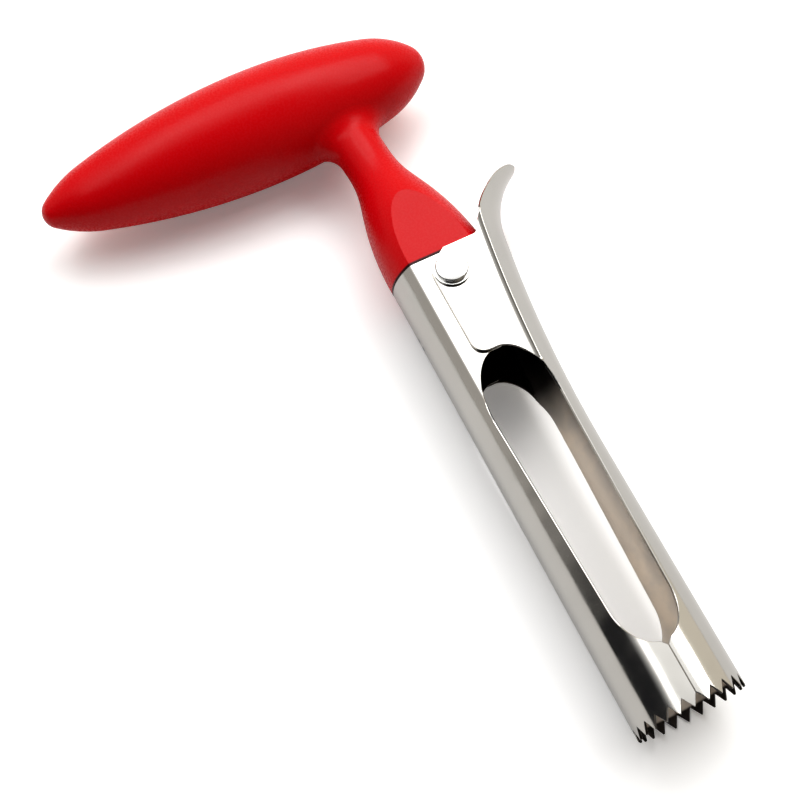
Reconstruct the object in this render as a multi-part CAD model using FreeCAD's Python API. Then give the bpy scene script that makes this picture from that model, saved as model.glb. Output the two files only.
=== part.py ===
"""Twist apple corer: a moulded T handle, a fixed half tube and a hinged half tube with a thumb lever.

Working frame of this file: the tube axis is the X axis, the tooth tips lie at x = 0 and the
handle at negative x, +Y points to the lever and +Z to the front window. At the end everything
is tilted and moved once, so that the tool lies on its bar and its teeth with the origin under
its middle. Units are millimetres and degrees.
"""
import math
import os

import FreeCAD
import Part

V = FreeCAD.Vector
UP = V(0, 0, 1)

# Steel tube
TUBE_R = 12.0               # outer radius of the closed tube
SHEET = 0.6                 # thickness of the steel sheet
SEAM_GAP = 0.3              # slit between the two half tubes
OVERRUN = 2.0               # the sheets are formed this far past their edges, then trimmed
FIXED_TOP = -110.7          # upper rim of the fixed half
MOVING_TOP = -111.2         # upper rim of the ears of the hinged half

# Teeth
TEETH_PER_HALF = 12
TOOTH_DEPTH = 2.4
TOOTH_TIP_FLAT = 0.2

# Windows, cut straight through both halves
WINDOW_TOP = -84.5
WINDOW_WIDEST = -70.0
WINDOW_HALF = 8.1           # half width at its widest
WINDOW_TAPER = -24.0
WINDOW_HALF_LOW = 6.8       # half width where the lower round begins
WINDOW_BOTTOM = -13.6
NICK_HALF = 1.2             # rounding of the two corners at the seam
NICK_RISE = 0.15

# Hinge
PIVOT_X = -105.3
FLAT_DROP = 2.7             # the fixed half is pressed flat this far below its round
FIXED_FLAT = TUBE_R - FLAT_DROP
FIXED_SHOULDER = 1.6        # outer radius between flat and round
FLAT_RUN = WINDOW_WIDEST    # the flats run into the window edge above this station
EAR_GAP = 0.3               # air above and below the ears of the hinged half
EAR_FLAT = FIXED_FLAT + EAR_GAP + SHEET
EAR_SHOULDER = 1.3
EAR_REACH = 4.4             # how far an ear runs past the tube axis
EAR_CORNER = 3.0
EAR_CROWN = 55.0            # angle over which the ear's edge runs round the rivet
SHANK_R = 2.0
SHANK_FIT = 0.08            # running clearance of the ears on the rivet
WASHER_R = 4.1
WASHER_T = 0.4
HEAD_R = 3.7
HEAD_H = 1.05

# Side wall of the hinged half: it leaves the tube in a slow bend and curls out as a thumb lever
BEND_START = -57.0
BEND_ANGLE = 10.0
CURL_R = 23.7
CURL_ANGLE = 48.1
LEVER_LEAN = 40.0           # direction from which the lever blank is trimmed
# distance from the rim along the blank, half width there
LEVER_HALF = [(-4.5, 10.8), (0.0, 10.3), (4.0, 9.9), (9.0, 8.35), (12.8, 6.5)]
LEVER_TIP = 6.4             # length of the rounded end
CORNER_R = 3.4              # the upper rim turns into the edge of the lever with this radius
LEVER_LAND = 0.4            # width of ear flat that is left along the lever

# Handle: a bar of round section, thickest off its middle, on a waisted neck
BAR_X = -165.1
BAR_R = 13.8
BAR_THICKEST = -21.0
BAR_LONG_ARM = [(166.7, 15.1), (30.7, 21.2)]    # radius and angle of each arc, then a ball end
BAR_SHORT_ARM = [(129.0, 13.8), (23.3, 29.9)]
FLARE_GAP = 0.15            # slit between the flare and the rim of the fixed half
FLARE_END = FIXED_TOP - FLARE_GAP
NECK_LEAN = 3.9             # the neck leans towards the long arm
NECK_SLOPE = 0.9            # slope of the flare at the rim
NECK_ARCS = [(68.9, 17.3), (4.5, 0.0), (26.35, -18.2), (22.0, 0.0)]
NECK_FILLET = 6.0
PLUG_END = -99.5
PLUG_ROOT = 1.0             # the plug starts this far inside the flare
PLUG_FIT = 0.1
PLUG_SHIFT = 1.2            # the plug stands back this far on the lever side
PLUG_ROUND = 1.5            # rounding of its long corners

# Two small dimples pressed into the side of the fixed half
DIMPLE_X = (-97.4, -95.2)
DIMPLE_R = 0.45
DIMPLE_DEPTH = 0.25


def polar(angle, size=1.0):
    a = math.radians(angle)
    return V(math.cos(a), math.sin(a), 0) * size


def trace(point, heading, runs):
    """Tangent chain in the XY plane; a run is (radius, left turn) or (length, 0)."""
    edges = []
    for size, turn in runs:
        if turn == 0:
            end = point + polar(heading, size)
            edges.append(Part.makeLine(point, end))
        else:
            side = math.copysign(90.0, turn)
            centre = point + polar(heading + side, size)
            half, end = (centre - polar(heading + side + turn * k, size) for k in (0.5, 1.0))
            edges.append(Part.Arc(point, half, end).toShape())
        point, heading = end, heading + turn
    return edges, point, heading


def spline(points):
    curve = Part.BSplineCurve()
    curve.interpolate(points)
    return curve.toShape()


def polygon(points):
    return [Part.makeLine(a, b) for a, b in zip(points, points[1:] + points[:1])]


def prism(edges, direction):
    return Part.Face(Part.Wire(edges)).extrude(direction)


def upright(edges):
    """Cutter standing on an outline in the XY plane, tall enough for the whole tool."""
    tool = prism(edges, UP * 4 * TUBE_R)
    tool.translate(UP * -2 * TUBE_R)
    return tool


def turned_back(shape):
    """The same piece on the back face."""
    return shape.mirror(V(0, 0, 0), UP)


def skin(x, radius, flat, shoulder, reach):
    """One skin of a half tube's section: flat, shoulder, round side, shoulder, flat."""
    centre_z = flat - shoulder
    centre_y = math.sqrt((radius - shoulder) ** 2 - centre_z ** 2)
    angle = math.degrees(math.atan2(centre_z, centre_y))

    def on_circle(y, z, size, at):
        a = math.radians(at)
        return V(x, y + size * math.cos(a), z + size * math.sin(a))

    start = V(x, -reach, flat)
    top = V(x, centre_y, flat)
    middle = on_circle(centre_y, centre_z, shoulder, (90 + angle) / 2)
    meet = on_circle(centre_y, centre_z, shoulder, angle)
    front = [Part.makeLine(start, top), Part.Arc(top, middle, meet).toShape()]
    side = Part.Arc(meet, V(x, radius, 0), V(x, meet.y, -meet.z)).toShape()
    back = [turned_back(edge) for edge in reversed(front)]
    return front + [side] + back


def wall_section(x, flat, shoulder, reach):
    """Section of a half tube pressed flat front and back, opening towards -Y."""
    outer = skin(x, TUBE_R, flat, shoulder, reach)
    inner = skin(x, TUBE_R - SHEET, flat - SHEET, shoulder - SHEET, reach)
    lip = Part.makeLine(V(x, -reach, flat), V(x, -reach, flat - SHEET))
    return Part.Face(Part.Wire(Part.__sortEdges__(outer + inner + [lip, turned_back(lip)])))


def round_half(start):
    """Plain round half tube on the +Y side, from a station to past the teeth."""
    length = OVERRUN - start
    tube = Part.makeCylinder(TUBE_R, length, V(start, 0, 0), V(1, 0, 0))
    bore = Part.makeCylinder(TUBE_R - SHEET, length, V(start, 0, 0), V(1, 0, 0))
    return tube.cut(bore).common(Part.makeBox(length, TUBE_R, 2 * TUBE_R, V(start, 0, -TUBE_R)))


def half_outline(side, top):
    """Kept area of one half seen from the front: its side of the seam, plus the ear."""
    ear_y = -side * EAR_REACH
    seam_y = side * SEAM_GAP / 2.0
    far_y = side * 5 * TUBE_R
    low = WINDOW_TOP - EAR_CORNER
    bevel = EAR_CORNER * math.sqrt(0.5)
    corner_mid = V(low + bevel, ear_y + side * (EAR_CORNER - bevel), 0)
    ear_low, ear_bottom = V(low, ear_y, 0), V(WINDOW_TOP, ear_y + side * EAR_CORNER, 0)
    crown_start = V(PIVOT_X, ear_y, 0)
    turn = math.radians(EAR_CROWN)
    crown_mid = V(PIVOT_X - EAR_REACH * math.sin(turn / 2), ear_y * math.cos(turn / 2), 0)
    crown_end = V(PIVOT_X - EAR_REACH * math.sin(turn), ear_y * math.cos(turn), 0)
    run_out = (crown_end.x - top) / math.cos(turn)
    shoulder = V(top, crown_end.y + side * run_out * math.sin(turn), 0)
    above, below = top - 3 * TUBE_R, TUBE_R
    corners = [shoulder, V(above, shoulder.y, 0), V(above, far_y, 0), V(below, far_y, 0),
               V(below, seam_y, 0), V(WINDOW_TOP, seam_y, 0), ear_bottom]
    edges = [Part.makeLine(a, b) for a, b in zip(corners, corners[1:])]
    edges += [Part.Arc(ear_bottom, corner_mid, ear_low).toShape(),
              Part.makeLine(ear_low, crown_start),
              Part.Arc(crown_start, crown_mid, crown_end).toShape(),
              Part.makeLine(crown_end, shoulder)]
    return upright(edges)


def window_cutter():
    """Long window: an elliptical arch at the top, tapering sides and a narrower round end."""
    arch = Part.Ellipse(V(WINDOW_WIDEST, 0, 0), WINDOW_WIDEST - WINDOW_TOP, WINDOW_HALF)
    foot = Part.Ellipse(V(WINDOW_TAPER, 0, 0), WINDOW_BOTTOM - WINDOW_TAPER, WINDOW_HALF_LOW)
    edges = [Part.Arc(arch, math.pi / 2, 3 * math.pi / 2).toShape(),
             Part.makeLine(V(WINDOW_WIDEST, -WINDOW_HALF, 0), V(WINDOW_TAPER, -WINDOW_HALF_LOW, 0)),
             Part.Arc(foot, -math.pi / 2, math.pi / 2).toShape(),
             Part.makeLine(V(WINDOW_TAPER, WINDOW_HALF_LOW, 0), V(WINDOW_WIDEST, WINDOW_HALF, 0))]
    back = WINDOW_BOTTOM - 2 * NICK_HALF
    nick = [V(back, -2 * NICK_HALF, 0), V(back, 2 * NICK_HALF, 0),
            V(WINDOW_BOTTOM - NICK_RISE, NICK_HALF, 0), V(WINDOW_BOTTOM + NICK_HALF, 0, 0),
            V(WINDOW_BOTTOM - NICK_RISE, -NICK_HALF, 0)]
    return upright(edges).fuse(upright(polygon(nick)))


def tooth_cutters(side):
    """Notches between the teeth of one half, plus the plane that ends the tube."""
    pitch = 180.0 / TEETH_PER_HALF
    half = math.pi * TUBE_R / TEETH_PER_HALF / 2.0 - TOOTH_TIP_FLAT / 2.0
    past = 2 * OVERRUN
    wide = half * (1 + past / TOOTH_DEPTH)
    notch = prism(polygon([V(-TOOTH_DEPTH, 0, 0), V(past, -wide, 0), V(past, wide, 0)]),
                  UP * 2 * TUBE_R)
    cutters = [Part.makeBox(2 * past, 4 * TUBE_R, 4 * TUBE_R, V(0, -2 * TUBE_R, -2 * TUBE_R))]
    for i in range(TEETH_PER_HALF + 1):
        tool = notch.copy()
        tool.rotate(V(0, 0, 0), V(1, 0, 0), -side * i * pitch)
        cutters.append(tool)
    return cutters


def cross_pin(radius, half_length=2 * TUBE_R):
    return Part.makeCylinder(radius, 2 * half_length, V(PIVOT_X, 0, -half_length))


def fixed_shell():
    """Half tube on the long-arm side, pressed flat front and back around the rivet."""
    section = wall_section(FIXED_TOP, FIXED_FLAT, FIXED_SHOULDER, EAR_REACH + OVERRUN)
    pressed = section.extrude(V(FLAT_RUN - FIXED_TOP, 0, 0))
    sheet = pressed.fuse(round_half(FLAT_RUN)).mirror(V(0, 0, 0), V(0, 1, 0))
    dimples = [Part.makeCylinder(DIMPLE_R, SHEET, V(x, DIMPLE_DEPTH - TUBE_R, 0), V(0, -1, 0))
               for x in DIMPLE_X]
    shell = sheet.common(half_outline(-1, FIXED_TOP - OVERRUN))
    return shell.cut([window_cutter(), cross_pin(SHANK_R)] + tooth_cutters(-1) + dimples)


def bent_wall():
    """Side wall and ear flats of the hinged half: bent slowly outward, then curled."""
    bend_r = (BEND_START - MOVING_TOP) / math.sin(math.radians(BEND_ANGLE))
    pole = V(BEND_START, TUBE_R + bend_r, 0)
    section = wall_section(BEND_START, EAR_FLAT, EAR_SHOULDER, 2 * TUBE_R)
    slow = section.revolve(pole, UP, -BEND_ANGLE)
    section.rotate(pole, UP, -BEND_ANGLE)
    root = pole + polar(-90 - BEND_ANGLE, bend_r)
    curl_pole = root + polar(90 - BEND_ANGLE, CURL_R)
    return slow.fuse(section.revolve(curl_pole, UP, -CURL_ANGLE)), root


def lever_trim(root):
    """Everything above the ears except the tapering, round-ended blank of the thumb lever."""
    along, inward = polar(180 - LEVER_LEAN), polar(270 - LEVER_LEAN)
    base = root - inward * TUBE_R

    def place(distance, height):
        return base + along * distance + UP * height

    heel, shoulder = LEVER_HALF[0]
    neck_end, neck_half = LEVER_HALF[-1]
    upper = spline([place(d, h) for d, h in LEVER_HALF])
    lower = spline([place(d, -h) for d, h in LEVER_HALF])
    tip = Part.Arc(place(neck_end, neck_half), place(neck_end + LEVER_TIP, 0),
                   place(neck_end, -neck_half)).toShape()
    back = [place(heel, -shoulder), place(heel - TUBE_R, -shoulder),
            place(heel - TUBE_R, shoulder), place(heel, shoulder)]
    ends = [Part.makeLine(a, b) for a, b in zip(back, back[1:])]
    blank = prism([upper, tip, lower] + ends, inward * 5 * TUBE_R)
    size = 5 * TUBE_R
    space = Part.makeBox(size, 2 * size, size, V(MOVING_TOP - size, -size, -size / 2))
    return space.cut(blank)


def rim_trim(root):
    """Cutter above the upper rim: it takes the ear flats off along the curl of the lever."""
    pole = root + polar(90 - BEND_ANGLE, CURL_R)
    flat_end = math.sqrt((TUBE_R - EAR_SHOULDER) ** 2 - (EAR_FLAT - EAR_SHOULDER) ** 2)
    reach = CURL_R + TUBE_R - flat_end + LEVER_LAND
    start = math.degrees(math.acos((MOVING_TOP - pole.x) / reach))
    corner, middle, far = (pole + polar(-a, reach) for a in (start, (start + 180) / 2, 180))
    size = 5 * TUBE_R
    bounds = [far, V(far.x - size, far.y, 0), V(far.x - size, -size, 0), V(corner.x, -size, 0), corner]
    edges = [Part.makeLine(a, b) for a, b in zip(bounds, bounds[1:])]
    tool = upright([Part.Arc(corner, middle, far).toShape()] + edges)
    corners = [e for e in tool.Edges if e.CenterOfMass.distanceToPoint(corner) < SHEET]
    return tool.makeFillet(CORNER_R, corners)


def moving_shell():
    """Half tube on the lever side, with two ears over the flats of the fixed half."""
    wall, root = bent_wall()
    shell = wall.fuse(round_half(BEND_START)).common(half_outline(1, MOVING_TOP))
    cutters = [window_cutter(), cross_pin(SHANK_R + SHANK_FIT), lever_trim(root), rim_trim(root)]
    return shell.cut(cutters + tooth_cutters(1))


def bar_arm(heading, side, arcs):
    """Outline of one arm of the bar, closed by a ball end centred on the bar's axis."""
    start = V(BAR_X + BAR_R, BAR_THICKEST, 0)
    edges, point, heading = trace(start, heading, [(r, side * a) for r, a in arcs])
    rest = 90.0 - sum(a for r, a in arcs)
    nose_r = (point.x - BAR_X) / math.sin(math.radians(rest))
    nose, tip, heading = trace(point, heading, [(nose_r, side * rest)])
    return edges + nose, tip


def bar():
    """Lopsided spindle turned about an axis along Y, with its seam away from the neck."""
    long_edges, long_tip = bar_arm(-90.0, -1, BAR_LONG_ARM)
    short_edges, short_tip = bar_arm(90.0, 1, BAR_SHORT_ARM)
    outline = Part.__sortEdges__(long_edges + short_edges + [Part.makeLine(long_tip, short_tip)])
    spindle = Part.Face(Part.Wire(outline)).revolve(V(BAR_X, 0, 0), V(0, 1, 0), 360)
    spindle.rotate(V(BAR_X, 0, 0), V(0, 1, 0), 180)
    return spindle


def neck():
    """Waisted neck whose flare is cut flat front and back, level with the fixed half."""
    rise = OVERRUN * math.tan(math.radians(NECK_SLOPE))
    start = V(OVERRUN, TUBE_R + rise, 0)
    edges, end, heading = trace(V(0, TUBE_R, 0), 180.0 + NECK_SLOPE, NECK_ARCS)
    edges += [Part.makeLine(start, V(0, TUBE_R, 0)), Part.makeLine(end, V(end.x, 0, 0)),
              Part.makeLine(V(end.x, 0, 0), V(OVERRUN, 0, 0)), Part.makeLine(V(OVERRUN, 0, 0), start)]
    body = Part.Face(Part.Wire(Part.__sortEdges__(edges))).revolve(V(0, 0, 0), V(1, 0, 0), 360)
    body.rotate(V(0, 0, 0), UP, NECK_LEAN)
    body.translate(V(FLARE_END, 0, 0))
    size = 4 * TUBE_R
    beyond = Part.makeBox(size, size, size, V(FLARE_END, -size / 2, -size / 2))
    above = Part.makeBox(2 * TUBE_R + size, size, size, V(FLARE_END - 2 * TUBE_R, -size / 2, FIXED_FLAT))
    return body.cut([beyond, above, turned_back(above)])


def plug():
    """Round plug with two flats that fills the top of the tube and carries the rivet."""
    radius = TUBE_R - SHEET - PLUG_FIT
    flat = FIXED_FLAT - SHEET - PLUG_FIT
    start, length = FLARE_END - PLUG_ROOT, PLUG_END - FLARE_END + PLUG_ROOT
    rod = Part.makeCylinder(radius, length, V(start, 0, 0), V(1, 0, 0))
    relief = Part.makeCylinder(radius, length, V(start, -PLUG_SHIFT, 0), V(1, 0, 0))
    slab = Part.makeBox(length, 4 * TUBE_R, 2 * flat, V(start, -2 * TUBE_R, -flat))
    body = rod.common(relief).common(slab).removeSplitter()
    corners = [e for e in body.Edges
               if e.Length > length - PLUG_FIT and abs(e.CenterOfMass.z) > flat - PLUG_FIT]
    return body.makeFillet(PLUG_ROUND, corners)


def handle():
    """The bar runs softly into the neck; the plug and the rivet's hole sit at the far end."""
    body = bar().fuse(neck())
    joint = [e for e in body.Edges if e.BoundBox.XMax < BAR_X + BAR_R + OVERRUN
             and min(e.BoundBox.YLength, e.BoundBox.ZLength) > OVERRUN]
    return body.makeFillet(NECK_FILLET, joint).fuse(plug()).cut(cross_pin(SHANK_R)).removeSplitter()


def washer():
    seat = EAR_FLAT + EAR_GAP
    ring = Part.makeCylinder(WASHER_R, WASHER_T, V(PIVOT_X, 0, seat))
    return ring.cut(cross_pin(SHANK_R))


def rivet():
    """Shank with two low domed heads; each head is a slice of a ball."""
    seat = EAR_FLAT + EAR_GAP + WASHER_T
    ball_r = (HEAD_R ** 2 + HEAD_H ** 2) / (2 * HEAD_H)
    dome = Part.makeSphere(ball_r, V(PIVOT_X, 0, seat + HEAD_H - ball_r))
    head = dome.common(Part.makeCylinder(HEAD_R, HEAD_H, V(PIVOT_X, 0, seat)))
    return cross_pin(SHANK_R, seat).fuse([head, turned_back(head)]).removeSplitter()


def main():
    nodes = {
        "handle": handle(),
        "fixed_shell": fixed_shell(),
        "moving_shell": moving_shell(),
        "rivet": rivet(),
        "washer_front": washer(),
        "washer_back": turned_back(washer()),
    }
    # The tool rests on the thick bar and on the teeth, so the tube slopes a little.
    rest_tilt = math.degrees(math.asin((BAR_R - TUBE_R) / -BAR_X))
    for shape in nodes.values():
        shape.rotate(V(BAR_X, 0, 0), V(0, 1, 0), rest_tilt)
    box = Part.makeCompound(list(nodes.values())).optimalBoundingBox(False)
    centre = V(-(box.XMin + box.XMax) / 2.0, -(box.YMin + box.YMax) / 2.0, BAR_R)
    os.makedirs("parts", exist_ok=True)
    for name, shape in nodes.items():
        shape.translate(centre)
        shape.exportStep("parts/%s.step" % name)


main()
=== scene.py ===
"""Looks of a twist apple corer lying on a pale table, with its red handle at the upper left."""
import math

import bmesh
import bpy
from mathutils import Matrix, Vector


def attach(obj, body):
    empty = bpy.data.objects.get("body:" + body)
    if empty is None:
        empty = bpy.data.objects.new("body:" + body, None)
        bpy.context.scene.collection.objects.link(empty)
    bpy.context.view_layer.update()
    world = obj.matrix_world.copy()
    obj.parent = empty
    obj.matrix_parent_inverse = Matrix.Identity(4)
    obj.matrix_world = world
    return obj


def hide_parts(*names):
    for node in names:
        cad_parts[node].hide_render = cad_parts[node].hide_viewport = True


MM = 0.001

# Camera, matched to the photograph's frame of 800 by 800
CAMERA_MM = (117.61, -42.88, 289.61)
CAMERA_ELEVATION = 65.98
CAMERA_AZIMUTH = 158.51
CAMERA_ROLL = 4.79
LENS_MM = 62.65
SENSOR_MM = 36.0

# Stage: softboxes aimed at the tool, each with its place and size in metres and its watts
SOFTBOXES = (("beyond_handle", (-0.55, 0.10, 0.82), (0.6, 0.5), 2.2),
             ("warm_side", (-0.22, 0.56, 0.83), (0.9, 0.42), 4.4),
             ("open_side", (-0.22, -0.36, 0.93), (0.9, 0.20), 1.3))
TABLE_REACH = 3.0           # metres from the tool to each edge of the table
TABLE_DROP = 0.05           # mm from the lowest point of the tool down to the table

# How the tool lies: the tube slopes by REST_TILT degrees about REST_PIVOT_MM, and is then moved
REST_TILT = 0.62468
REST_PIVOT_MM = (-165.1, 0.0, 0.0)
REST_SHIFT_MM = (89.39, 24.325, 13.8)
TUBE_TIP_MM = (89.39, 24.325, 12.0)     # where the lying tube's axis ends between the teeth
DIMPLES_MM = ((-8.0, 12.33, 13.06), (-5.8, 12.33, 13.04))

# Where finishes and painted shade start and are full: along the tube in mm from its tips
RIM_SHADE = (-111.5, -111.1)            # painted shade: the red foot of the flare darkens towards the plug
WINDOW_SHADE = (-70.0, -79.0)           # painted shade: the inside darkens towards the window's arch
GROUND_TOOTH = (-2.9, -2.3)
# ... by the way that the surface faces from the tube's axis, from -1 inside to 1 outside
INSIDE = (-0.25, -0.55)
OUTSIDE = (0.1, 0.3)
OFF_SKIN = (0.75, 0.45)
# ... and by its lean towards the lever, by its mm across to that side and from a dimple's centre
HOLLOW_LEAN = (-0.06, -0.34)
HOLLOW_SIDE = (0.8, 1.6)
DIMPLE_EDGE = (0.75, 0.45)

# Width and full height in mm of what lies on the surfaces
GRAIN_MM, GRAIN_DEEP = 0.55, 0.012
SWELL_MM, SWELL_DEEP = 16.0, 0.25
LINES_MM, LINES_DEEP = 0.30, 0.0006
WAVE_MM, WAVE_DEEP = 10.0, 0.10
SMEAR_MM = 9.0
STAIN_MM = 6.0

# Steel tube, in mm from its tips: x is negative towards the handle, y points to the lever and z
# through the front window
TUBE_R = 12.0
SHEET = 0.6
BROKEN_EDGE = 0.10          # width of the rounding left on a cut edge
TOOTH_DEPTH = 2.4
TOOTH_PITCH = 15.0          # degrees round the tube
TOOTH_COUNT = 6             # from the middle of a half to its seam
NOTCH_HALF = 7.04
WINDOW_FOOT = (-24.0, 10.4, 6.8)        # centre, length and half width of each round end
WINDOW_ARCH = (-70.0, 14.5, 8.1)
NICK = (-12.4, -13.75, 1.2)             # corner at the seam: its two ends and its half width
EAR_FLAT = 10.2             # from the axis to the outside of an ear
EAR_REACH = 4.4             # how far an ear runs past the axis
EAR_CORNER = 3.0
EAR_CROWN = math.radians(55.0)          # angle over which an ear runs round the rivet
PIVOT_X = -105.3
FAR_ROUND = 28.0            # further round the sheet than any of its edges
HALVINGS = 36               # steps in which a place on the sheet is found

# Each half is pressed flat round the rivet. Its wall is round, then straight from the angle
# "straight" to a crest that leans over by "lean" into a hollow foot, and then flat.
HINGED = {"side": 1, "flat": EAR_FLAT, "straight": math.radians(40.0), "crest_r": 0.2,
          "lean": math.radians(35.0), "foot_r": 3.0, "pressed": (-57.0, -78.0), "seam_y": -0.06,
          "bend_x": -57.0, "rim": (-111.2, 0.755)}
FIXED = {"side": -1, "flat": 9.3, "straight": math.radians(47.77), "crest_r": 1.6,
         "lean": 0.0, "foot_r": 1.0, "pressed": (-60.0, -71.0), "seam_y": 0.15,
         "bend_x": -200.0, "rim": (-110.7, 0.04)}
# Columns of the half tubes' mesh that keep to the crest, its foot and the start of the flat,
# once the sheet reaches far enough round
CREST_COLUMN, FOOT_COLUMN, FLAT_COLUMN = 34, 38, 45
CREST_REACH, CREST_EASE = 10.4, 2.4

# Lever: the wall bends slowly outward above BEND_X, then curls
BEND_X = -57.0
BEND_R = 312.13
BEND_ANGLE = math.radians(10.0)
CURL_R = 23.7
CURL_LIMIT = math.radians(75.0)
LEVER_LEAN = math.radians(140.0)
LEVER_ROOT = 15.6           # half width where the lever leaves the rim
ROOT_EASE = 8.0             # its rows straighten over this length from the line of the rim
# along the lever from its root, half width round the sheet
LEVER_EDGE = ((-0.7, 15.8), (0.0, 14.9), (0.5, 14.3), (1.2, 13.7), (2.4, 12.65), (4.5, 11.35),
              (6.5, 10.25), (9.0, 9.15), (11.0, 8.4), (12.8, 7.65), (14.5, 6.75), (16.0, 5.7),
              (17.5, 4.4), (18.5, 3.2))
LEVER_TIP_START = 17.5
LEVER_TIP = (14.5, 4.7, 5.70)           # its rounded end: centre, length, half width
LEVER_ROWS = (0.12, 0.25, 0.5, 0.8, 1.2, 1.8, 2.4, 3.0, 3.75, 4.5, 5.5, 6.5, 7.3, 8.2, 9.0, 10.0,
              11.0, 12.0, 12.9, 13.8, 14.7, 15.5, 16.2, 16.9)

# Rivet
RIVET_SEAT = 0.7            # gap and washer between an ear and the rivet's head
RIVET_SHANK_R = 2.0
RIVET_HEAD_R = 3.7
RIVET_HEAD_H = 1.05
RIVET_ROUND = 0.42          # radius of the rounding round the head
RIVET_CROWN = 0.12          # rise of the nearly flat top
RIVET_SIDES = 72
RIVET_SHARP = math.radians(35.0)


def linear(code, strength=1.0):
    """Linear colour of an sRGB hex value, times a strength that may be over one."""
    parts = [int(code[i:i + 2], 16) / 255.0 for i in (1, 3, 5)]
    return tuple(strength * (c / 12.92 if c <= 0.04045 else ((c + 0.055) / 1.055) ** 2.4)
                 for c in parts) + (1.0,)


def add(tree, kind, links=None, **settings):
    """Adds a node; settings are its properties, links fill its sockets.

    A link is a value, an output, or a node that gives its first output in use.
    """
    node = tree.nodes.new(kind)
    for name, value in settings.items():
        setattr(node, name, value)
    for name, value in (links or {}).items():
        socket = node.inputs[name] if isinstance(name, int) else next(
            s for s in node.inputs if s.enabled and s.name == name)
        if isinstance(value, bpy.types.Node):
            value = next(s for s in value.outputs if s.enabled)
        if isinstance(value, bpy.types.NodeSocket):
            tree.links.new(value, socket)
        else:
            socket.default_value = value
    return node


def new_material(name):
    material = bpy.data.materials.new(name)
    material.use_nodes = True
    tree = material.node_tree
    tree.nodes.clear()
    return material, tree


def tube_places(tree):
    """Place in the frame, place along the tube in mm from the tips, and how a surface lies.

    The facing is 1 on the outer skin, 0 on a cut edge and -1 on the inner skin. The way across
    the tube towards the lever comes with it, and how far the surface leans that way.
    """
    tilt = math.radians(REST_TILT)
    axis = (math.cos(tilt), 0.0, -math.sin(tilt))
    tip = tuple(v * MM for v in TUBE_TIP_MM)
    coordinates = add(tree, "ShaderNodeTexCoord").outputs
    place, normal = coordinates["Object"], coordinates["Normal"]
    from_tip = add(tree, "ShaderNodeVectorMath", {0: place, 1: tip}, operation="SUBTRACT")
    metres = add(tree, "ShaderNodeVectorMath", {0: from_tip, 1: axis}, operation="DOT_PRODUCT")
    along = add(tree, "ShaderNodeMath", {0: metres, 1: 1 / MM}, operation="MULTIPLY")
    on_axis = add(tree, "ShaderNodeVectorMath", {0: from_tip, 1: axis}, operation="PROJECT")
    off_axis = add(tree, "ShaderNodeVectorMath", {0: from_tip, 1: on_axis}, operation="SUBTRACT")
    outward = add(tree, "ShaderNodeVectorMath", {0: off_axis}, operation="NORMALIZE")
    facing = add(tree, "ShaderNodeVectorMath", {0: outward, 1: normal}, operation="DOT_PRODUCT")
    across = add(tree, "ShaderNodeSeparateXYZ", {"Vector": from_tip}).outputs["Y"]
    lean = add(tree, "ShaderNodeSeparateXYZ", {"Vector": normal}).outputs["Y"]
    return place, along, facing, across, lean


def moulded_polypropylene():
    """Injection moulded polypropylene: even red, with a fine spark-eroded grain that softens
    the gloss, and a slow swell where the thick bar has shrunk in the mould. The plug inside
    the tube and the edge of the flare above it are painted nearly black as shade."""
    material, tree = new_material("moulded_polypropylene")
    place, along = tube_places(tree)[:2]
    # The real grain is about 0.1 mm wide. It is drawn at 0.55 mm so that it shows.
    grain = add(tree, "ShaderNodeTexNoise",
                {"Vector": place, "Scale": 1 / (GRAIN_MM * MM), "Detail": 3.0})
    swell = add(tree, "ShaderNodeTexNoise",
                {"Vector": place, "Scale": 1 / (SWELL_MM * MM), "Detail": 1.0})
    tint_and_shade = add(tree, "ShaderNodeMix",
               {"Factor": swell, "A": linear("#CB0209"), "B": linear("#D3030C")},
               data_type="RGBA")
    # Painted shade: the plug inside the tube and the foot of the flare are painted nearly black.
    plug = add(tree, "ShaderNodeMapRange",
               {"Value": along, "From Min": RIM_SHADE[0], "From Max": RIM_SHADE[1]},
               interpolation_type="SMOOTHSTEP")
    tint_and_shade = add(tree, "ShaderNodeMix", {"Factor": plug, "A": tint_and_shade, "B": linear("#2E0205")},
               data_type="RGBA")
    gloss = add(tree, "ShaderNodeMapRange",
                {"Value": grain, "From Min": 0.3, "From Max": 0.7, "To Min": 0.22,
                 "To Max": 0.32}, interpolation_type="SMOOTHSTEP")
    relief = add(tree, "ShaderNodeBump", {"Height": swell, "Strength": 1.0,
                                          "Distance": SWELL_DEEP * MM})
    relief = add(tree, "ShaderNodeBump", {"Height": grain, "Strength": 1.0,
                                          "Distance": GRAIN_DEEP * MM, "Normal": relief})
    skin = add(tree, "ShaderNodeBsdfPrincipled",
               {"Base Color": tint_and_shade, "Roughness": gloss, "IOR": 1.49,
                "Specular IOR Level": 0.10, "Normal": relief})
    add(tree, "ShaderNodeOutputMaterial", {"Surface": skin})
    return material


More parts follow.
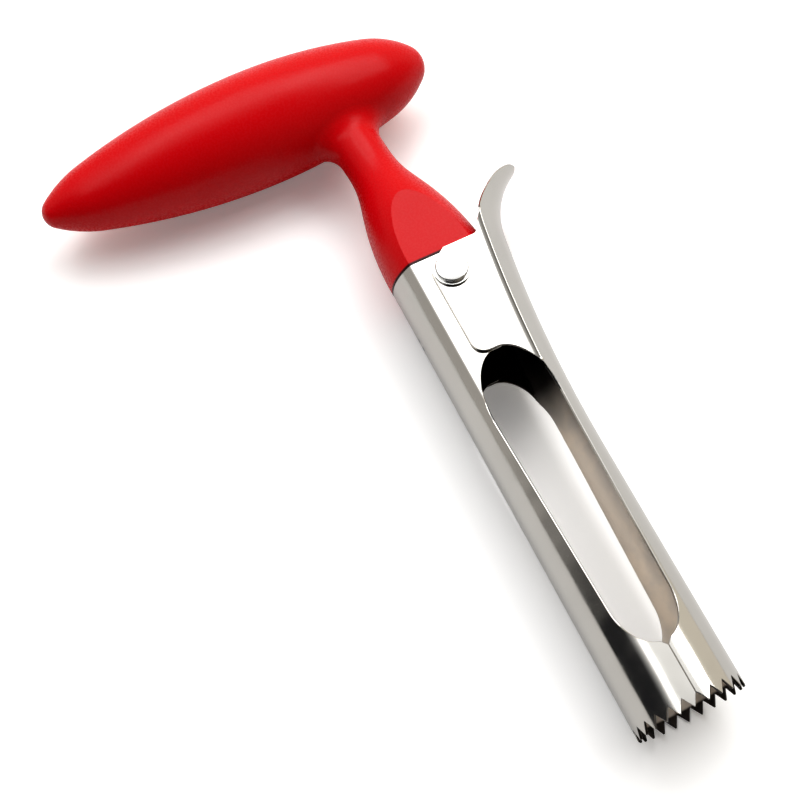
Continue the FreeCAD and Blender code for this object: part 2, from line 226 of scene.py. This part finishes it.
def steel_surface(tree, place, rough, tone):
    """Tone, gloss and relief of polished 18/10 stainless steel: a near mirror with faint lines
    along the tool from the polishing wheel, a slow wave, and smears that take off some gloss."""
    brushed = add(tree, "ShaderNodeMapping", {"Vector": place, "Scale": (0.03, 1.0, 1.0)})
    # The wheel's lines are about 0.05 mm apart. They are drawn at 0.3 mm so that they show.
    lines = add(tree, "ShaderNodeTexNoise",
                {"Vector": brushed, "Scale": 1 / (LINES_MM * MM), "Detail": 3.0})
    smear = add(tree, "ShaderNodeTexNoise",
                {"Vector": place, "Scale": 1 / (SMEAR_MM * MM), "Detail": 3.0})
    wave = add(tree, "ShaderNodeTexNoise",
               {"Vector": place, "Scale": 1 / (WAVE_MM * MM), "Detail": 1.0})
    colour = add(tree, "ShaderNodeMix",
                 {"Factor": smear, "A": linear(tone), "B": linear(tone, 0.90)},
                 data_type="RGBA")
    gloss = add(tree, "ShaderNodeMapRange",
                {"Value": smear, "From Min": 0.35, "From Max": 0.7, "To Min": rough,
                 "To Max": rough * 1.6}, interpolation_type="SMOOTHSTEP")
    relief = add(tree, "ShaderNodeBump", {"Height": wave, "Strength": 1.0,
                                          "Distance": WAVE_DEEP * MM})
    relief = add(tree, "ShaderNodeBump", {"Height": lines, "Strength": 1.0,
                                          "Distance": LINES_DEEP * MM, "Normal": relief})
    return colour, gloss, relief


def cold_headed_stainless():
    """Rivet and washers of stainless steel, headed cold and barrel polished: bright, and a
    little softer than the sheet."""
    material, tree = new_material("cold_headed_stainless")
    place = add(tree, "ShaderNodeTexCoord").outputs["Object"]
    colour, gloss, relief = steel_surface(tree, place, 0.16, "#D0CFCC")
    metal = add(tree, "ShaderNodeBsdfPrincipled",
                {"Base Color": colour, "Metallic": 1.0, "Roughness": gloss, "Normal": relief})
    add(tree, "ShaderNodeOutputMaterial", {"Surface": metal})
    return material


def polished_stainless():
    """Pressed stainless sheet: mirror polished outside with a slight wave from the press, dull
    and tinted inside, with teeth that are ground and left dark. Shade is painted inside
    towards the window's arch, in the hollow beside the lever and in the two dimples."""
    material, tree = new_material("polished_stainless")
    place, along, facing, across, lean = tube_places(tree)
    colour, gloss, relief = steel_surface(tree, place, 0.11, "#C8C5BF")

    inside = add(tree, "ShaderNodeMapRange",
                 {"Value": facing, "From Min": INSIDE[0], "From Max": INSIDE[1]},
                 interpolation_type="SMOOTHSTEP")
    stain = add(tree, "ShaderNodeTexNoise",
                {"Vector": place, "Scale": 1 / (STAIN_MM * MM), "Detail": 4.0})
    stained = add(tree, "ShaderNodeMapRange",
                  {"Value": stain, "From Min": 0.40, "From Max": 0.62},
                  interpolation_type="SMOOTHSTEP")
    dull = add(tree, "ShaderNodeMix",
               {"Factor": stained, "A": linear("#CBC4BC"), "B": linear("#D8CEC2")},
               data_type="RGBA")
    # Painted shade: the inside is painted nearly black towards the window's arch.
    shaded = add(tree, "ShaderNodeMapRange",
                 {"Value": along, "From Min": WINDOW_SHADE[0], "From Max": WINDOW_SHADE[1]},
                 interpolation_type="SMOOTHSTEP")
    dull = add(tree, "ShaderNodeMix", {"Factor": shaded, "A": dull, "B": linear("#2C2725")},
               data_type="RGBA")
    colour = add(tree, "ShaderNodeMix", {"Factor": inside, "A": colour, "B": dull},
                 data_type="RGBA")
    gloss = add(tree, "ShaderNodeMix", {"Factor": inside, "A": gloss, "B": 0.42})

    # Painted shade in the hollow beside the lever, on the outer skin only.
    leaning = add(tree, "ShaderNodeMapRange",
                  {"Value": lean, "From Min": HOLLOW_LEAN[0], "From Max": HOLLOW_LEAN[1]},
                  interpolation_type="SMOOTHSTEP")
    lever_side = add(tree, "ShaderNodeMapRange",
                     {"Value": across, "From Min": HOLLOW_SIDE[0] * MM,
                      "From Max": HOLLOW_SIDE[1] * MM},
                     interpolation_type="SMOOTHSTEP")
    outside = add(tree, "ShaderNodeMapRange",
                  {"Value": facing, "From Min": OUTSIDE[0], "From Max": OUTSIDE[1]},
                  interpolation_type="SMOOTHSTEP")
    hollow = add(tree, "ShaderNodeMath", {0: leaning, 1: lever_side}, operation="MULTIPLY")
    hollow = add(tree, "ShaderNodeMath", {0: hollow, 1: outside}, operation="MULTIPLY")
    colour = add(tree, "ShaderNodeMix", {"Factor": hollow, "A": colour, "B": linear("#86847F")},
                 data_type="RGBA")

    tooth = add(tree, "ShaderNodeMapRange",
                {"Value": along, "From Min": GROUND_TOOTH[0], "From Max": GROUND_TOOTH[1]},
                interpolation_type="SMOOTHSTEP")
    off_skin = add(tree, "ShaderNodeMapRange",
                   {"Value": facing, "From Min": OFF_SKIN[0], "From Max": OFF_SKIN[1]},
                   interpolation_type="SMOOTHSTEP")
    ground = add(tree, "ShaderNodeMath", {0: tooth, 1: off_skin}, operation="MULTIPLY")
    colour = add(tree, "ShaderNodeMix", {"Factor": ground, "A": colour, "B": linear("#2B2725")},
                 data_type="RGBA")

    # Painted shade: a dark spot at each of the two dimples.
    for centre in DIMPLES_MM:
        far = add(tree, "ShaderNodeVectorMath", {0: place, 1: tuple(v * MM for v in centre)},
                  operation="DISTANCE")
        dimple = add(tree, "ShaderNodeMapRange",
                     {"Value": far, "From Min": DIMPLE_EDGE[0] * MM,
                      "From Max": DIMPLE_EDGE[1] * MM},
                     interpolation_type="SMOOTHSTEP")
        colour = add(tree, "ShaderNodeMix",
                     {"Factor": dimple, "A": colour, "B": linear("#1C1A19")}, data_type="RGBA")
    metal = add(tree, "ShaderNodeBsdfPrincipled",
                {"Base Color": colour, "Metallic": 1.0, "Roughness": gloss, "Normal": relief})
    add(tree, "ShaderNodeOutputMaterial", {"Surface": metal})
    return material


def pale_table():
    """Matt white table: it shows as white, and it keeps the soft shadow of the tool. The steel
    mirrors it in its own pale tone."""
    material, tree = new_material("pale_table")
    seen = add(tree, "ShaderNodeLightPath").outputs["Is Camera Ray"]
    tone = add(tree, "ShaderNodeMix",
               {"Factor": seen, "A": linear("#E6E6E7"), "B": linear("#FFFFFF", 1.12)},
               data_type="RGBA")
    matt = add(tree, "ShaderNodeBsdfDiffuse", {"Color": tone})
    veil = add(tree, "ShaderNodeMix",
               {"Factor": seen, "A": linear("#000000"), "B": linear("#FFFFFF", 0.15)},
               data_type="RGBA")
    lift = add(tree, "ShaderNodeEmission", {"Color": veil})
    top = add(tree, "ShaderNodeAddShader", {0: matt, 1: lift})
    add(tree, "ShaderNodeOutputMaterial", {"Surface": top})
    return material


def studio_world():
    """Room round the table: bright beyond the handle and overhead, dark behind the camera.

    One long side of the tool faces a dark corner, the other a warm wall.
    """
    world = bpy.data.worlds.new("studio")
    bpy.context.scene.world = world
    world.use_nodes = True
    tree = world.node_tree
    tree.nodes.clear()
    heading = add(tree, "ShaderNodeTexCoord").outputs["Generated"]
    axes = add(tree, "ShaderNodeSeparateXYZ", {"Vector": heading}).outputs
    behind = add(tree, "ShaderNodeMapRange",
                 {"Value": axes["X"], "From Min": -0.12, "From Max": 0.07},
                 interpolation_type="SMOOTHSTEP")
    beyond = add(tree, "ShaderNodeMapRange",
                 {"Value": axes["X"], "From Min": -0.10, "From Max": -0.32},
                 interpolation_type="SMOOTHSTEP")
    ceiling = add(tree, "ShaderNodeMix",
                  {"Factor": beyond, "A": linear("#FFFFFF", 1.45), "B": linear("#FFFFFF", 1.62)},
                  data_type="RGBA")
    ceiling = add(tree, "ShaderNodeMix",
                  {"Factor": behind, "A": ceiling, "B": linear("#34363A")}, data_type="RGBA")
    far_end = add(tree, "ShaderNodeMapRange",
                  {"Value": axes["X"], "From Min": -0.17, "From Max": -0.30},
                  interpolation_type="SMOOTHSTEP")
    corner = add(tree, "ShaderNodeMix",
                 {"Factor": far_end, "A": linear("#1C1D20"), "B": linear("#C2BEB9")},
                 data_type="RGBA")
    wall = add(tree, "ShaderNodeMix",
               {"Factor": behind, "A": linear("#F8F0E0"), "B": linear("#8A8276")},
               data_type="RGBA")
    lever_side = add(tree, "ShaderNodeMapRange",
                     {"Value": axes["Y"], "From Min": -0.3, "From Max": 0.3},
                     interpolation_type="SMOOTHSTEP")
    sides = add(tree, "ShaderNodeMix", {"Factor": lever_side, "A": corner, "B": wall},
                data_type="RGBA")
    height = add(tree, "ShaderNodeMath", {0: axes["X"], 1: -0.25, 2: axes["Z"]},
                 operation="MULTIPLY_ADD")
    overhead = add(tree, "ShaderNodeMapRange",
                   {"Value": height, "From Min": 0.68, "From Max": 0.98},
                   interpolation_type="SMOOTHSTEP")
    room = add(tree, "ShaderNodeMix", {"Factor": overhead, "A": sides, "B": ceiling},
               data_type="RGBA")
    seen = add(tree, "ShaderNodeLightPath").outputs["Is Camera Ray"]
    shown = add(tree, "ShaderNodeMix", {"Factor": seen, "A": room, "B": linear("#FFFFFF")},
                data_type="RGBA")
    back = add(tree, "ShaderNodeBackground", {"Color": shown})
    add(tree, "ShaderNodeOutputWorld", {"Surface": back})


def softbox(name, place, size, energy):
    """Rectangular lamp that faces the tool."""
    lamp = bpy.data.lights.new(name, "AREA")
    lamp.shape = "RECTANGLE"
    lamp.size, lamp.size_y = size
    lamp.energy = energy
    holder = bpy.data.objects.new(name, lamp)
    holder.location = place
    holder.rotation_euler = (-Vector(place)).to_track_quat("-Z", "Y").to_euler()
    bpy.context.collection.objects.link(holder)


def aim_camera():
    """Camera that looks down on the lying tool from beyond its toothed end."""
    e, a, r = (math.radians(v) for v in (CAMERA_ELEVATION, CAMERA_AZIMUTH, CAMERA_ROLL))
    forward = Vector((math.cos(a) * math.cos(e), math.sin(a) * math.cos(e), -math.sin(e)))
    level = Vector((math.sin(a), -math.cos(a), 0.0))
    down = forward.cross(level)
    right = level * math.cos(r) + down * math.sin(r)
    down = down * math.cos(r) - level * math.sin(r)
    turn = Matrix((right, -down, -forward)).transposed().to_4x4()
    data = bpy.data.cameras.new("camera")
    data.lens = LENS_MM
    data.sensor_width = SENSOR_MM
    data.clip_start, data.clip_end = 0.01, 20.0
    camera = bpy.data.objects.new("camera", data)
    camera.matrix_world = Matrix.Translation(Vector(CAMERA_MM) * MM) @ turn
    bpy.context.collection.objects.link(camera)
    bpy.context.scene.camera = camera


def finished_piece(name, mesh, material):
    data = bpy.data.meshes.new(name)
    mesh.to_mesh(data)
    mesh.free()
    data.materials.append(material)
    piece = bpy.data.objects.new(name, data)
    bpy.context.collection.objects.link(piece)
    return piece


def table_top(material):
    mesh = bmesh.new()
    corners = [mesh.verts.new((x * TABLE_REACH, y * TABLE_REACH, -TABLE_DROP * MM))
               for x, y in ((-1, -1), (1, -1), (1, 1), (-1, 1))]
    mesh.faces.new(corners)
    return finished_piece("table_top", mesh, material)


def lying(place):
    """Point of the lying tool, in metres, from its place in the tube's own millimetres."""
    turned = lying_normal([a - b for a, b in zip(place, REST_PIVOT_MM)])
    return tuple((a + b + c) * MM for a, b, c in zip(turned, REST_PIVOT_MM, REST_SHIFT_MM))


def lying_normal(normal):
    """Direction on the lying tool of a direction in the tube's own frame."""
    tilt = math.radians(REST_TILT)
    x, y, z = normal
    return (x * math.cos(tilt) + z * math.sin(tilt), y, z * math.cos(tilt) - x * math.sin(tilt))


def solve(measure, low, high, target):
    """Value between low and high at which a rising measure reaches the target."""
    for _ in range(HALVINGS):
        middle = (low + high) / 2
        if measure(middle) < target:
            low = middle
        else:
            high = middle
    return (low + high) / 2


def round_wall(u):
    """Outer skin u mm round from the middle of the side wall: y, z and the way it faces."""
    return TUBE_R * math.cos(u / TUBE_R), TUBE_R * math.sin(u / TUBE_R), u / TUBE_R


def pressed_marks(form):
    """Where the crest starts and ends and where the hollow foot ends, round the pressed wall."""
    turn, lean, crest_r, foot_r = (form[k] for k in ("straight", "lean", "crest_r", "foot_r"))
    crest_z = form["flat"] + foot_r * (1 - math.cos(lean)) - crest_r * math.cos(lean)
    run = max(0.0, (crest_z - (TUBE_R - crest_r) * math.sin(turn)) / math.cos(turn))
    crest_u = TUBE_R * turn + run
    foot_u = crest_u + crest_r * (math.pi / 2 + lean - turn)
    return crest_u, foot_u, foot_u + foot_r * lean


def pressed_wall(form, u):
    """Outer skin of the pressed part of a half, given in the same way as the round wall."""
    turn, lean, crest_r, foot_r = (form[k] for k in ("straight", "lean", "crest_r", "foot_r"))
    side, u = math.copysign(1.0, u), abs(u)
    crest_u, foot_u, flat_u = pressed_marks(form)
    run = min(u, crest_u) - TUBE_R * turn
    y, z, facing = round_wall(min(u, TUBE_R * turn))
    if run > 0:
        y, z = y - run * math.sin(turn), z + run * math.cos(turn)
    if u > crest_u:
        y, z = y - crest_r * math.cos(turn), z - crest_r * math.sin(turn)
        if u <= foot_u:
            facing = turn + (u - crest_u) / crest_r
            y, z = y + crest_r * math.cos(facing), z + crest_r * math.sin(facing)
        else:
            facing = math.pi / 2 + max(0.0, lean - (u - foot_u) / foot_r)
            y -= (crest_r + foot_r) * math.sin(lean) + foot_r * math.cos(facing)
            y -= max(0.0, u - flat_u)
            z = form["flat"] + foot_r * (1 - math.sin(facing))
    return y, side * z, side * facing


def bent_normal(facing, bend):
    return (math.cos(facing) * math.sin(bend), math.cos(facing) * math.cos(bend),
            math.sin(facing))


def wall_point(form, x, u):
    """Place and normal of the outer skin at a station x between the tips and the rim."""
    start, end = form["pressed"]
    share = min(1.0, max(0.0, (start - x) / (start - end)))
    share *= share * (3 - 2 * share)
    y, z, facing = round_wall(u)
    if share:
        pressed = pressed_wall(form, u)
        y, z, facing = (a + (b - a) * share for a, b in zip((y, z, facing), pressed))
    bend = 0.0
    if x < form["bend_x"]:
        reach = BEND_R + TUBE_R - y
        bend = math.asin((form["bend_x"] - x) / reach)
        y = TUBE_R + BEND_R - reach * math.cos(bend)
    return (x, y, z), bent_normal(facing, bend)


def bent_point(bend, u):
    """How far along the lever the wall has turned outward by an angle; its place and normal."""
    y, z, facing = pressed_wall(HINGED, u)
    pole = (BEND_X, TUBE_R + BEND_R)
    reach = BEND_R + TUBE_R - y
    if bend > BEND_ANGLE:
        pole = (pole[0] - (BEND_R - CURL_R) * math.sin(BEND_ANGLE),
                pole[1] - (BEND_R - CURL_R) * math.cos(BEND_ANGLE))
        reach = CURL_R + TUBE_R - y
    place = (pole[0] - reach * math.sin(bend), pole[1] - reach * math.cos(bend), z)
    root = (BEND_X - BEND_R * math.sin(BEND_ANGLE),
            TUBE_R + BEND_R * (1 - math.cos(BEND_ANGLE)))
    along = ((place[0] - root[0]) * math.cos(LEVER_LEAN)
             + (place[1] - root[1]) * math.sin(LEVER_LEAN))
    return along, place, bent_normal(facing, bend)


def rim_bend(u):
    """How far the wall has turned outward where it passes the rim."""
    return math.asin((BEND_X - HINGED["rim"][0]) / (BEND_R + TUBE_R - pressed_wall(HINGED, u)[0]))


def lever_point(along, u):
    """Place and normal of the outer skin at a distance along the lever from its root."""
    rim_along = bent_point(rim_bend(u), u)[0]
    target = along + rim_along * max(0.0, 1 - along / ROOT_EASE) ** 2
    bend = solve(lambda a: bent_point(a, u)[0], rim_bend(u), CURL_LIMIT, target)
    return bent_point(bend, u)[1:]


def wall_rows(form):
    """Stations from the teeth to the rim, each with the y at which the half tube's edge lies."""
    quarter = [math.radians(90.0 * k / 16) for k in range(17)]
    rows = [(x, form["seam_y"]) for x in (-3.4, -5.0, -7.5, -10.0, NICK[0] - 0.1)]
    rows.append((NICK[1], NICK[2]))
    centre, length, half = WINDOW_FOOT
    rows += [(centre + length * math.cos(a), half * math.sin(a)) for a in quarter
             if half * math.sin(a) > NICK[2] + 0.1]
    low, high = WINDOW_FOOT, WINDOW_ARCH
    rows += [(low[0] + (high[0] - low[0]) * k / 14, low[2] + (high[2] - low[2]) * k / 14)
             for k in range(1, 14)]
    centre, length, half = WINDOW_ARCH
    rows += [(centre - length * math.sin(a), half * math.cos(a)) for a in quarter[:-1]]
    top = centre - length
    rows.append((top + 0.03, 0.5))
    rows += [(top - EAR_CORNER * (1 - math.cos(a)), EAR_CORNER * (1 - math.sin(a)) - EAR_REACH)
             for a in quarter[::2]]
    low_ear = top - EAR_CORNER
    rows += [(low_ear + (PIVOT_X - low_ear) * k / 12, -EAR_REACH) for k in range(1, 13)]
    for k in range(1, 9):
        a = EAR_CROWN * k / 8
        rows.append((PIVOT_X - EAR_REACH * math.sin(a), -EAR_REACH * math.cos(a)))
    x, y = rows[-1]
    rim_x, rim_y = form["rim"]
    rows += [(x + (rim_x - x) * k / 4, y + (rim_y - y) * k / 4) for k in range(1, 5)]
    return rows


def tooth_end(angle):
    """Station at which the tube ends, by the angle round it in degrees."""
    off = abs((angle + TOOTH_PITCH / 2) % TOOTH_PITCH - TOOTH_PITCH / 2)
    return -TOOTH_DEPTH * max(0.0, 1 - off / NOTCH_HALF)


def lever_edge(along):
    """Half width of the lever round its sheet, smooth through the given points."""
    centre, length, half = LEVER_TIP
    if along >= LEVER_TIP_START:
        return half * math.sqrt(max(0.0, 1 - ((along - centre) / length) ** 2))
    k = max(i for i, point in enumerate(LEVER_EDGE[:-2]) if i == 1 or (i and point[0] <= along))
    (x0, y0), (x1, y1), (x2, y2), (x3, y3) = LEVER_EDGE[k - 1:k + 3]
    t, step = (along - x1) / (x2 - x1), x2 - x1
    rise, fall = step * (y2 - y0) / (x2 - x0), step * (y3 - y1) / (x3 - x1)
    return (y1 * (1 + 2 * t) * (1 - t) ** 2 + rise * t * (1 - t) ** 2
            + y2 * t * t * (3 - 2 * t) - fall * t * t * (1 - t))


def columns_round(form, reach, shares, last):
    """Places of the columns from the middle of the wall to its edge; some keep to the crest."""
    crest_u, foot_u, flat_u = pressed_marks(form)
    pull = min(1.0, max(0.0, (reach - CREST_REACH) / CREST_EASE))
    crest = pull * crest_u + (1 - pull) * reach * shares[CREST_COLUMN] / shares[last]
    step = (reach - crest) / (shares[last] - shares[CREST_COLUMN])
    knots = [(0, 0.0), (CREST_COLUMN, crest)]
    for k, place in ((FOOT_COLUMN, foot_u), (FLAT_COLUMN, flat_u)):
        if k < last and (k == FLAT_COLUMN or flat_u > foot_u):
            knots.append((k, min(place, crest + step * (shares[k] - shares[CREST_COLUMN]))))
    knots.append((last, reach))
    places = [0.0]
    for (a, low), (b, high) in zip(knots, knots[1:]):
        places += [low + (high - low) * (shares[k] - shares[a]) / (shares[b] - shares[a])
                   for k in range(a + 1, b + 1)]
    return [-v for v in places[:0:-1]] + places


def half_tube(name, form, material):
    """Half tube with its teeth, window edges and ears, and the lever on the hinged one."""
    seam = 90.0 - math.degrees(math.asin(form["seam_y"] / TUBE_R))
    steps = (0.0, NOTCH_HALF / 2, NOTCH_HALF, TOOTH_PITCH - NOTCH_HALF,
             TOOTH_PITCH - NOTCH_HALF / 2)
    marks = [TOOTH_PITCH * k + step for k in range(TOOTH_COUNT) for step in steps] + [seam]
    angles = [a + (b - a) * k / 2 for a, b in zip(marks, marks[1:]) for k in range(2)] + [seam]
    shares = [a / seam for a in angles]
    middle = len(shares) - 1
    points, cells, grid = [], [], []

    def keep_row(row):
        grid.append(range(len(points), len(points) + len(row)))
        points.extend(row)

    def evenly(reach):
        return [-v * reach for v in shares[:0:-1]] + [v * reach for v in shares]

    rows = wall_rows(form)
    first = rows[0][0]
    for share in (0.0, 0.35, 0.7):
        keep_row([wall_point(form, tooth_end(v) * (1 - share) + first * share,
                             math.radians(v) * TUBE_R) for v in evenly(seam)])
    for x, y in rows:
        reach = solve(lambda u: -wall_point(form, x, u)[0][1], 0.0, FAR_ROUND, -y)
        pressed = x < form["pressed"][0]
        around = columns_round(form, reach, shares, middle) if pressed else evenly(reach)
        keep_row([wall_point(form, x, u) for u in around])
    for a, b in zip(grid, grid[1:]):
        cells += [(a[k], b[k], b[k + 1], a[k + 1]) for k in range(2 * middle)]
    if form is HINGED:
        root = max(k for k, u in enumerate(around[middle:]) if u <= LEVER_ROOT)
        before = grid[-1][middle - root:middle + root + 1]
        centre, length = LEVER_TIP[:2]
        tip_rows = [centre + length * math.sin(math.radians(a)) for a in range(36, 90, 6)]
        for station in list(LEVER_ROWS) + tip_rows:
            keep_row([lever_point(station, u)
                      for u in columns_round(form, lever_edge(station), shares, root)])
            after = grid[-1]
            cells += [(before[k], after[k], after[k + 1], before[k + 1]) for k in range(2 * root)]
            before = after
    if form["side"] < 0:
        points = [((x, -y, z), (a, -b, c)) for (x, y, z), (a, b, c) in points]
        cells = [cell[::-1] for cell in cells]
    return sheet_piece(name, points, cells, material)


def sheet_piece(name, points, cells, material):
    """Sheet of one thickness under an outer skin, with all its cut edges slightly broken."""
    places = [Vector(place) for place, normal in points]
    normals = [Vector(normal) for place, normal in points]
    edges = {(a, b) for cell in cells for a, b in zip(cell, cell[1:] + cell[:1])}
    rim = sorted((a, b) for a, b in edges if (b, a) not in edges)
    inward = {}
    for a, b in rim:
        along = (places[b] - places[a]).normalized()
        for end in (a, b):
            inward[end] = inward.get(end, Vector()) + normals[end].cross(along)
    mesh = bmesh.new()

    def layer(depth, inset, which):
        made = {}
        for k in which:
            shift = inward[k].normalized() * inset if k in inward else Vector()
            made[k] = mesh.verts.new(lying(places[k] - normals[k] * depth + shift))
        return made

    every = sorted({k for cell in cells for k in cell})
    edge = sorted(inward)
    outer, inner = layer(0.0, BROKEN_EDGE, every), layer(SHEET, BROKEN_EDGE, every)
    upper, lower = layer(BROKEN_EDGE, 0.0, edge), layer(SHEET - BROKEN_EDGE, 0.0, edge)
    for cell in cells:
        mesh.faces.new([outer[k] for k in cell])
        mesh.faces.new([inner[k] for k in reversed(cell)])
    for above, below in ((outer, upper), (upper, lower), (lower, inner)):
        for a, b in rim:
            mesh.faces.new((above[b], above[a], below[a], below[b]))
    for face in mesh.faces:
        face.smooth = True
    mesh.verts.index_update()
    skin = {vert.index: lying_normal(normals[k] * side) for made, side in ((outer, 1), (inner, -1))
            for k, vert in made.items()}
    piece = finished_piece(name, mesh, material)
    true_normals = []
    for face in piece.data.polygons:
        on_skin = face.index < 2 * len(cells)
        true_normals += [skin[k] if on_skin else face.normal for k in face.vertices]
    piece.data.normals_split_custom_set(true_normals)
    return piece


def turned_rivet(material):
    """Rivet turned about the hinge: flat-topped heads with a rounded edge on a plain shank."""
    bend = [math.radians(90.0 * k / 10) for k in range(11)]
    seat = EAR_FLAT + RIVET_SEAT
    top = seat + RIVET_HEAD_H
    outline = [(RIVET_SHANK_R, 0.0), (RIVET_SHANK_R, seat), (RIVET_HEAD_R, seat)]
    outline += [(RIVET_HEAD_R - RIVET_ROUND * (1 - math.cos(a)),
                 top - RIVET_CROWN - RIVET_ROUND * (1 - math.sin(a))) for a in bend]
    flat_r = RIVET_HEAD_R - RIVET_ROUND
    outline += [(flat_r * math.cos(a), top - RIVET_CROWN * (1 - math.sin(a))) for a in bend[2::2]]
    outline = [(r, -h) for r, h in reversed(outline[1:])] + outline
    mesh = bmesh.new()
    rings = []
    for r, h in outline:
        turns = [2 * math.pi * k / RIVET_SIDES for k in range(RIVET_SIDES if r > 0.01 else 1)]
        rings.append([mesh.verts.new(lying((PIVOT_X + r * math.cos(t), r * math.sin(t), h)))
                      for t in turns])
    for below, above in zip(rings, rings[1:]):
        for k in range(RIVET_SIDES):
            n = (k + 1) % RIVET_SIDES
            corners = [ring[i % len(ring)]
                       for ring, i in ((below, k), (below, n), (above, n), (above, k))]
            mesh.faces.new([v for i, v in enumerate(corners) if v not in corners[:i]])
    bmesh.ops.recalc_face_normals(mesh, faces=mesh.faces[:])
    for face in mesh.faces:
        face.smooth = True
    for line in mesh.edges:
        line.smooth = line.calc_face_angle(0.0) < RIVET_SHARP
    return finished_piece("hinge_rivet", mesh, material)


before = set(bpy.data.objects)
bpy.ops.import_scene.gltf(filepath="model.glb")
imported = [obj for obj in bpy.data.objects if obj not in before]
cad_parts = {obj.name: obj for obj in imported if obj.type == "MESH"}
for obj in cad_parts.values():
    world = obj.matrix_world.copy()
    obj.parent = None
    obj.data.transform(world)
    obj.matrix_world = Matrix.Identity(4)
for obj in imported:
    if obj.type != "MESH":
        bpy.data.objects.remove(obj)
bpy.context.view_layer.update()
bpy.context.scene.view_settings.view_transform = "Standard"

red = moulded_polypropylene()
steel = polished_stainless()
bright = cold_headed_stainless()
for name, material in (("handle", red), ("fixed_shell", steel), ("moving_shell", steel),
                       ("rivet", bright), ("washer_front", bright), ("washer_back", bright)):
    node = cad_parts[name]
    node.data.materials.clear()
    node.data.materials.append(material)

for name, form, node, body in (("hinged_half_tube", HINGED, "moving_shell", "hinged_half"),
                               ("fixed_half_tube", FIXED, "fixed_shell", "frame")):
    half = half_tube(name, form, steel)
    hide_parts(node)
    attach(half, body)
pin = turned_rivet(bright)
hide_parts("rivet")
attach(pin, "frame")

studio_world()
table_top(pale_table())
for lamp in SOFTBOXES:
    softbox(*lamp)
aim_camera()
